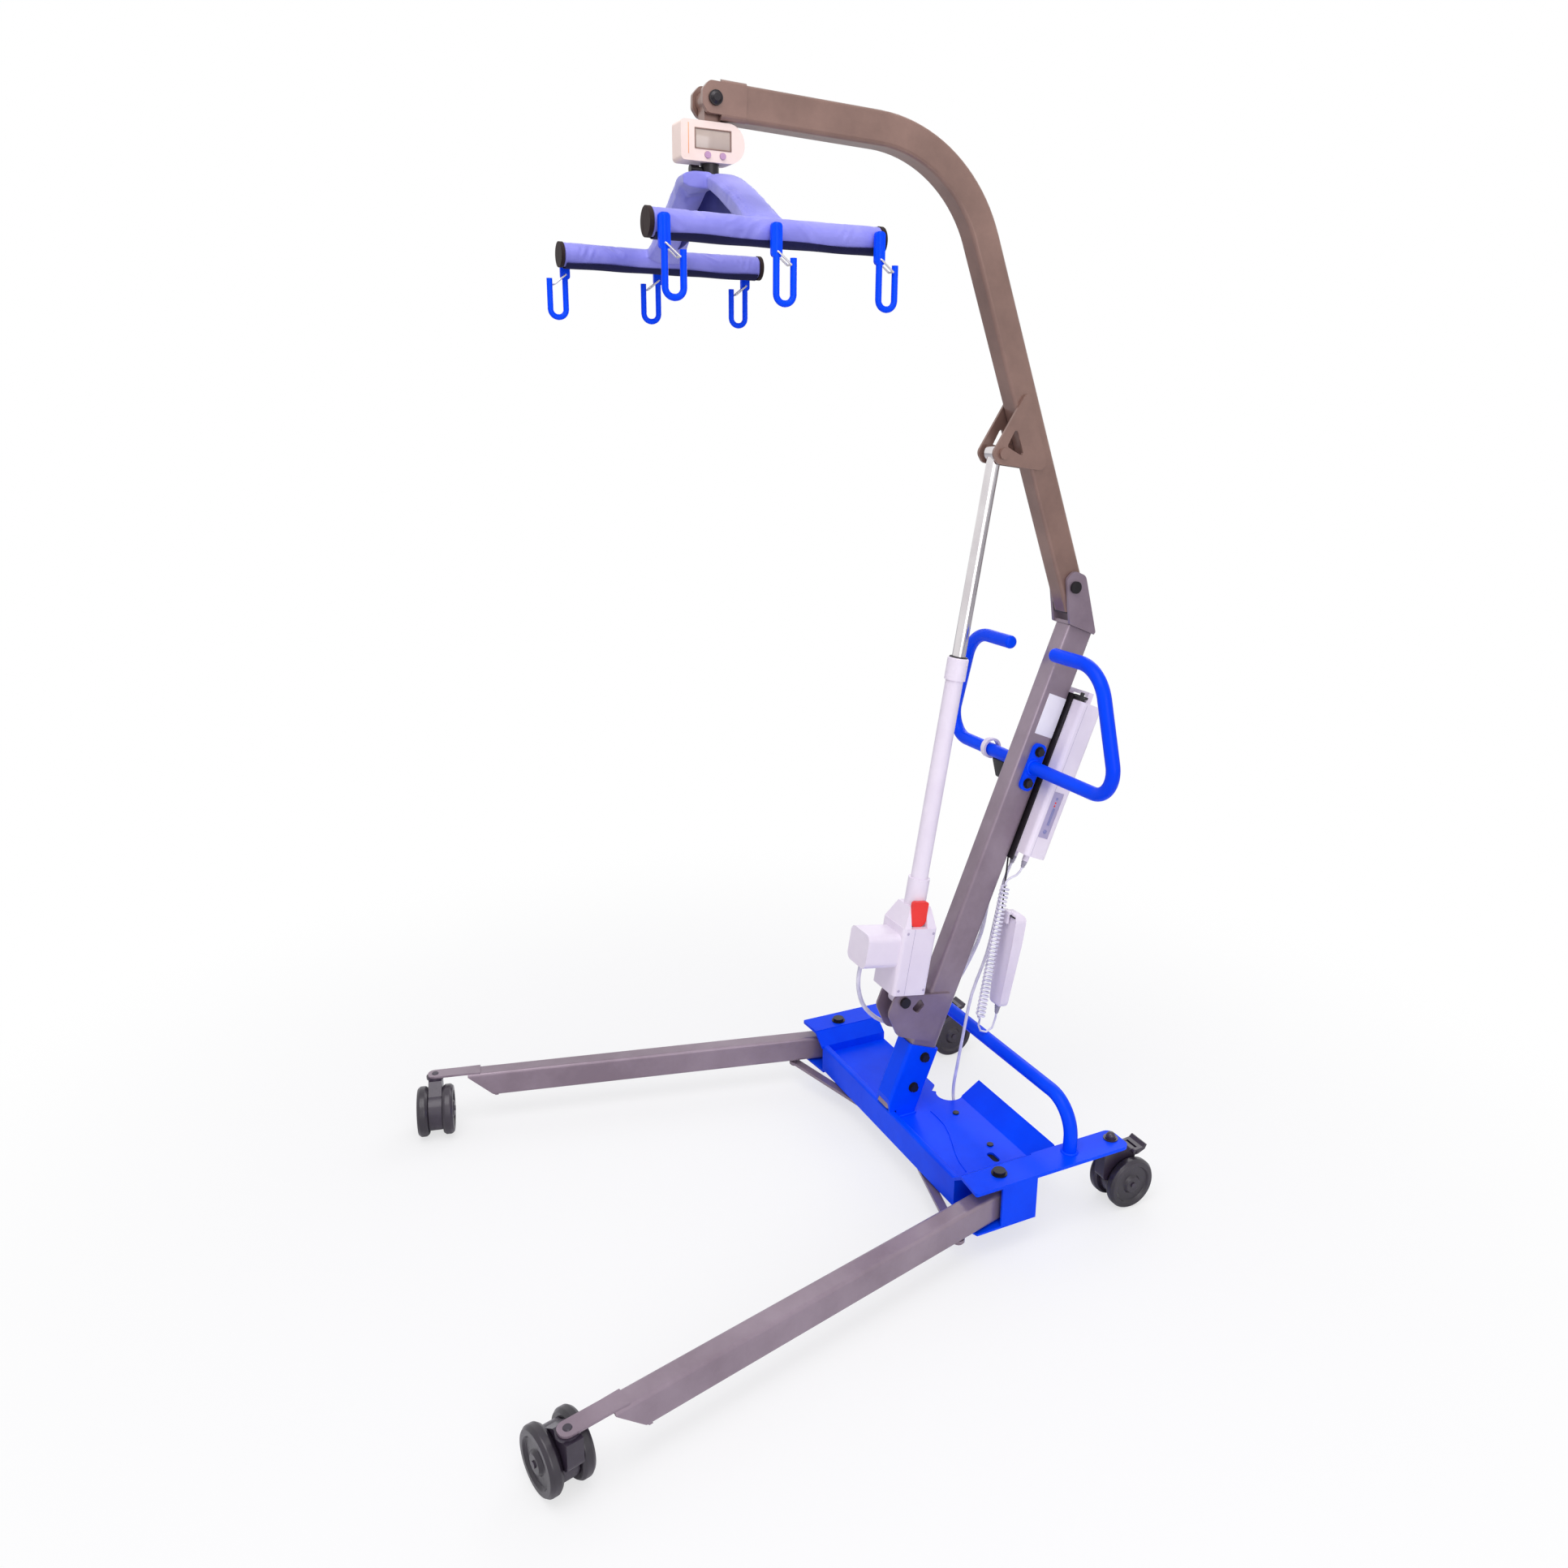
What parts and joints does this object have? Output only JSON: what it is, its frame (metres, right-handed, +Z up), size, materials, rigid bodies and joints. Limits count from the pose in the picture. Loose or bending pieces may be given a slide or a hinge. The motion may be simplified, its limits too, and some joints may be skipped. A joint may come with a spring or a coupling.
{
  "type": "patient lift",
  "caption": "Mobile floor lift with spreading legs on swivel casters, leaning mast, curved boom on a linear actuator, weighing unit and padded sling cradle.",
  "frame": {"origin": "middle of the bounding box, on the floor under the casters", "axes": "+X to the attendant's left, +Y from the legs towards the push handles, +Z up"},
  "size_m": [1.0158, 1.2048, 1.8393],
  "materials": {
    "base_frame": "gloss powder coat",
    "mast_socket": "gloss powder coat",
    "foot_hoop": "gloss powder coat",
    "frame_bolts": "black oxide",
    "pivot_bolts": "black oxide",
    "leg_actuator": "matt black",
    "mast_tube": "satin powder coat",
    "motor_clevis": "satin powder coat",
    "mast_head": "satin powder coat",
    "push_handle_right": "gloss powder coat",
    "push_handle_left": "gloss powder coat",
    "cord_clip": "fine texture moulding",
    "box_bracket": "matt black",
    "control_box": "fine texture moulding",
    "battery_pack": "fine texture moulding",
    "stop_button": "moulded",
    "handset": "fine texture moulding",
    "lift_key": "soft key",
    "spread_key": "soft key",
    "handset_cord": "flexible sheath",
    "lift_cord": "flexible sheath",
    "leg_cord": "flexible sheath",
    "leg_right": "satin powder coat",
    "leg_left": "satin powder coat",
    "tie_rod_right": "satin powder coat",
    "tie_rod_left": "satin powder coat",
    "leg_carriage": "ground",
    "fork_front_right": "moulded",
    "fork_front_left": "moulded",
    "fork_rear_right": "moulded",
    "fork_rear_left": "moulded",
    "wheels_front_right": "moulded tread on plastic centre",
    "wheels_front_left": "moulded tread on plastic centre",
    "wheels_rear_right": "moulded tread on plastic centre",
    "wheels_rear_left": "moulded tread on plastic centre",
    "pedal_right": "matt black",
    "pedal_left": "matt black",
    "motor_housing": "fine texture moulding",
    "motor_tube": "smooth coated tube",
    "release_collar": "moulded",
    "lift_rod": "ground",
    "boom_tube": "satin powder coat",
    "boom_bush": "ground",
    "lift_bracket": "satin powder coat",
    "boom_tip": "satin powder coat",
    "tip_bolt": "black oxide",
    "hanger_eye": "satin powder coat",
    "scale_unit": "fine texture moulding",
    "scale_key_one": "soft key",
    "scale_key_two": "soft key",
    "cradle_swivel": "matt black",
    "cradle_frame": "matt black",
    "cradle_cover": "padded sleeve",
    "sling_hooks": "gloss powder coat",
    "gate_right_front": "spring wire",
    "gate_right_middle": "spring wire",
    "gate_right_rear": "spring wire",
    "gate_left_front": "spring wire",
    "gate_left_middle": "spring wire",
    "gate_left_rear": "spring wire"
  },
  "bodies": {
    "base": {"base_frame": "base_frame", "mast_socket": "mast_socket", "foot_hoop": "foot_hoop", "frame_bolts": "frame_bolts", "pivot_bolts": "pivot_bolts", "leg_actuator": "leg_actuator", "mast_tube": "mast_tube", "motor_clevis": "motor_clevis", "mast_head": "mast_head", "push_handle_right": "push_handle_right", "push_handle_left": "push_handle_left", "cord_clip": "cord_clip", "box_bracket": "box_bracket", "control_box": "control_box", "handset": "handset", "handset_cord": "handset_cord", "lift_cord": "lift_cord", "leg_cord": "leg_cord"},
    "battery": {"battery_pack": "battery_pack"},
    "stop_button": {"stop_button": "stop_button"},
    "lift_key": {"lift_key": "lift_key"},
    "spread_key": {"spread_key": "spread_key"},
    "leg_right": {"leg_right": "leg_right"},
    "tie_right": {"tie_rod_right": "tie_rod_right"},
    "leg_left": {"leg_left": "leg_left"},
    "tie_left": {"tie_rod_left": "tie_rod_left"},
    "carriage": {"leg_carriage": "leg_carriage"},
    "caster_front_right": {"fork_front_right": "fork_front_right"},
    "wheels_front_right": {"wheels_front_right": "wheels_front_right"},
    "caster_rear_right": {"fork_rear_right": "fork_rear_right"},
    "wheels_rear_right": {"wheels_rear_right": "wheels_rear_right"},
    "pedal_right": {"pedal_right": "pedal_right"},
    "caster_front_left": {"fork_front_left": "fork_front_left"},
    "wheels_front_left": {"wheels_front_left": "wheels_front_left"},
    "caster_rear_left": {"fork_rear_left": "fork_rear_left"},
    "wheels_rear_left": {"wheels_rear_left": "wheels_rear_left"},
    "pedal_left": {"pedal_left": "pedal_left"},
    "actuator": {"motor_housing": "motor_housing", "motor_tube": "motor_tube"},
    "release_collar": {"release_collar": "release_collar"},
    "rod": {"lift_rod": "lift_rod"},
    "boom": {"boom_tube": "boom_tube", "boom_bush": "boom_bush", "lift_bracket": "lift_bracket", "boom_tip": "boom_tip", "tip_bolt": "tip_bolt"},
    "hanger": {"hanger_eye": "hanger_eye", "scale_unit": "scale_unit"},
    "scale_key_one": {"scale_key_one": "scale_key_one"},
    "scale_key_two": {"scale_key_two": "scale_key_two"},
    "cradle": {"cradle_swivel": "cradle_swivel", "cradle_frame": "cradle_frame", "cradle_cover": "cradle_cover", "sling_hooks": "sling_hooks"},
    "gate_right_front": {"gate_right_front": "gate_right_front"},
    "gate_right_middle": {"gate_right_middle": "gate_right_middle"},
    "gate_right_rear": {"gate_right_rear": "gate_right_rear"},
    "gate_left_rear": {"gate_left_rear": "gate_left_rear"},
    "gate_left_middle": {"gate_left_middle": "gate_left_middle"},
    "gate_left_front": {"gate_left_front": "gate_left_front"}
  },
  "joints": [
    {"name": "battery_lift_off", "type": "slide", "parent": "base", "child": "battery", "axis": [0, 0.3624, 0.932], "range_m": [0, 0.16]},
    {"name": "stop_press", "type": "slide", "parent": "base", "child": "stop_button", "axis": [0, -0.932, 0.3624], "range_m": [0, 0.004], "stiffness_N_per_m": 900, "springref_m": -0.001},
    {"name": "lift_key_rock", "type": "hinge", "parent": "base", "child": "lift_key", "pos_m": [0.034, 0.45133, 0.42913], "axis": [1, 0, 0], "range_deg": [-5, 5], "stiffness_Nm_per_rad": 0.2},
    {"name": "spread_key_rock", "type": "hinge", "parent": "base", "child": "spread_key", "pos_m": [0.034, 0.44659, 0.39546], "axis": [1, 0, 0], "range_deg": [-5, 5], "stiffness_Nm_per_rad": 0.2},
    {"name": "leg_right_spread", "type": "hinge", "parent": "base", "child": "leg_right", "pos_m": [0.3, 0.2515, 0.08], "axis": [0, 0, 1], "range_deg": [-13, 0]},
    {"name": "tie_right_pivot", "type": "hinge", "parent": "leg_right", "child": "tie_right", "pos_m": [0.32137, 0.15894, 0.047], "axis": [0, 0, 1], "range_deg": [-0.76, 0.76]},
    {"name": "leg_left_spread", "type": "hinge", "parent": "base", "child": "leg_left", "pos_m": [-0.3, 0.2515, 0.08], "axis": [0, 0, 1], "range_deg": [0, 13]},
    {"name": "tie_left_pivot", "type": "hinge", "parent": "leg_left", "child": "tie_left", "pos_m": [-0.32137, 0.15894, 0.047], "axis": [0, 0, 1], "range_deg": [-0.76, 0.76]},
    {"name": "carriage_slide", "type": "slide", "parent": "base", "child": "carriage", "axis": [0, 1, 0], "range_m": [0, 0.0568]},
    {"name": "caster_front_right_swivel", "type": "hinge", "parent": "leg_right", "child": "caster_front_right", "pos_m": [0.48558, -0.55235, 0.1], "axis": [0, 0, 1], "continuous": true},
    {"name": "wheels_front_right_spin", "type": "hinge", "parent": "caster_front_right", "child": "wheels_front_right", "pos_m": [0.4544, -0.55955, 0.048], "axis": [-0.225, 0.9744, 0], "continuous": true},
    {"name": "caster_rear_right_swivel", "type": "hinge", "parent": "base", "child": "caster_rear_right", "pos_m": [0.3, 0.4935, 0.1], "axis": [0, 0, 1], "continuous": true},
    {"name": "wheels_rear_right_spin", "type": "hinge", "parent": "caster_rear_right", "child": "wheels_rear_right", "pos_m": [0.3, 0.5255, 0.048], "axis": [1, 0, 0], "continuous": true},
    {"name": "brake_right", "type": "hinge", "parent": "caster_rear_right", "child": "pedal_right", "pos_m": [0.3, 0.5395, 0.103], "axis": [-1, 0, 0], "range_deg": [0, 12]},
    {"name": "caster_front_left_swivel", "type": "hinge", "parent": "leg_left", "child": "caster_front_left", "pos_m": [-0.48558, -0.55235, 0.1], "axis": [0, 0, 1], "continuous": true},
    {"name": "wheels_front_left_spin", "type": "hinge", "parent": "caster_front_left", "child": "wheels_front_left", "pos_m": [-0.4544, -0.55955, 0.048], "axis": [-0.225, -0.9744, 0], "continuous": true},
    {"name": "caster_rear_left_swivel", "type": "hinge", "parent": "base", "child": "caster_rear_left", "pos_m": [-0.3, 0.4935, 0.1], "axis": [0, 0, 1], "continuous": true},
    {"name": "wheels_rear_left_spin", "type": "hinge", "parent": "caster_rear_left", "child": "wheels_rear_left", "pos_m": [-0.3, 0.5255, 0.048], "axis": [1, 0, 0], "continuous": true},
    {"name": "brake_left", "type": "hinge", "parent": "caster_rear_left", "child": "pedal_left", "pos_m": [-0.3, 0.5395, 0.103], "axis": [-1, 0, 0], "range_deg": [0, 12]},
    {"name": "boom_lift", "type": "hinge", "parent": "base", "child": "boom", "pos_m": [0, 0.5445, 1.09], "axis": [-1, 0, 0], "range_deg": [-60, 0]},
    {"name": "actuator_swing", "type": "hinge", "parent": "base", "child": "actuator", "pos_m": [0, 0.2175, 0.335], "axis": [-1, 0, 0], "range_deg": [-6.29, 0.3]},
    {"name": "rod_slide", "type": "slide", "parent": "actuator", "child": "rod", "axis": [0, 0.1559, 0.9878], "range_m": [-0.2778, 0]},
    {"name": "release_pull", "type": "slide", "parent": "actuator", "child": "release_collar", "axis": [0, 0.1559, 0.9878], "range_m": [0, 0.01]},
    {"name": "hanger_swing", "type": "hinge", "parent": "boom", "child": "hanger", "pos_m": [0, -0.14533, 1.8131], "axis": [-1, 0, 0], "range_deg": [-3, 65]},
    {"name": "scale_key_one_press", "type": "slide", "parent": "hanger", "child": "scale_key_one", "axis": [-1, 0, 0], "range_m": [0, 0.0015], "stiffness_N_per_m": 400, "springref_m": -0.0005},
    {"name": "scale_key_two_press", "type": "slide", "parent": "hanger", "child": "scale_key_two", "axis": [-1, 0, 0], "range_m": [0, 0.0015], "stiffness_N_per_m": 400, "springref_m": -0.0005},
    {"name": "cradle_swivel", "type": "hinge", "parent": "hanger", "child": "cradle", "pos_m": [0, -0.14533, 1.7131], "axis": [0, 0, 1], "continuous": true},
    {"name": "gate_right_front_swing", "type": "hinge", "parent": "cradle", "child": "gate_right_front", "pos_m": [0.232, -0.29933, 1.5911], "axis": [-1, 0, 0], "range_deg": [0, 35], "stiffness_Nm_per_rad": 0.02, "springref_deg": -5.73},
    {"name": "gate_right_middle_swing", "type": "hinge", "parent": "cradle", "child": "gate_right_middle", "pos_m": [0.232, -0.14533, 1.5911], "axis": [-1, 0, 0], "range_deg": [0, 35], "stiffness_Nm_per_rad": 0.02, "springref_deg": -5.73},
    {"name": "gate_right_rear_swing", "type": "hinge", "parent": "cradle", "child": "gate_right_rear", "pos_m": [0.232, 0.00867, 1.5911], "axis": [-1, 0, 0], "range_deg": [0, 35], "stiffness_Nm_per_rad": 0.02, "springref_deg": -5.73},
    {"name": "gate_left_rear_swing", "type": "hinge", "parent": "cradle", "child": "gate_left_rear", "pos_m": [-0.232, 0.00867, 1.5911], "axis": [1, 0, 0], "range_deg": [0, 35], "stiffness_Nm_per_rad": 0.02, "springref_deg": -5.73},
    {"name": "gate_left_middle_swing", "type": "hinge", "parent": "cradle", "child": "gate_left_middle", "pos_m": [-0.232, -0.14533, 1.5911], "axis": [1, 0, 0], "range_deg": [0, 35], "stiffness_Nm_per_rad": 0.02, "springref_deg": -5.73},
    {"name": "gate_left_front_swing", "type": "hinge", "parent": "cradle", "child": "gate_left_front", "pos_m": [-0.232, -0.29933, 1.5911], "axis": [1, 0, 0], "range_deg": [0, 35], "stiffness_Nm_per_rad": 0.02, "springref_deg": -5.73}
  ],
  "couplings": [
    {"joint": "tie_right_pivot", "follows": "leg_right_spread", "ratio": -0.04328},
    {"joint": "leg_left_spread", "follows": "leg_right_spread", "ratio": -1},
    {"joint": "tie_left_pivot", "follows": "leg_right_spread", "ratio": 0.04328},
    {"joint": "carriage_slide", "follows": "leg_right_spread", "m_per_rad": -0.24926},
    {"joint": "actuator_swing", "follows": "boom_lift", "ratio": 0.09979},
    {"joint": "rod_slide", "follows": "boom_lift", "m_per_rad": 0.26437}
  ]
}
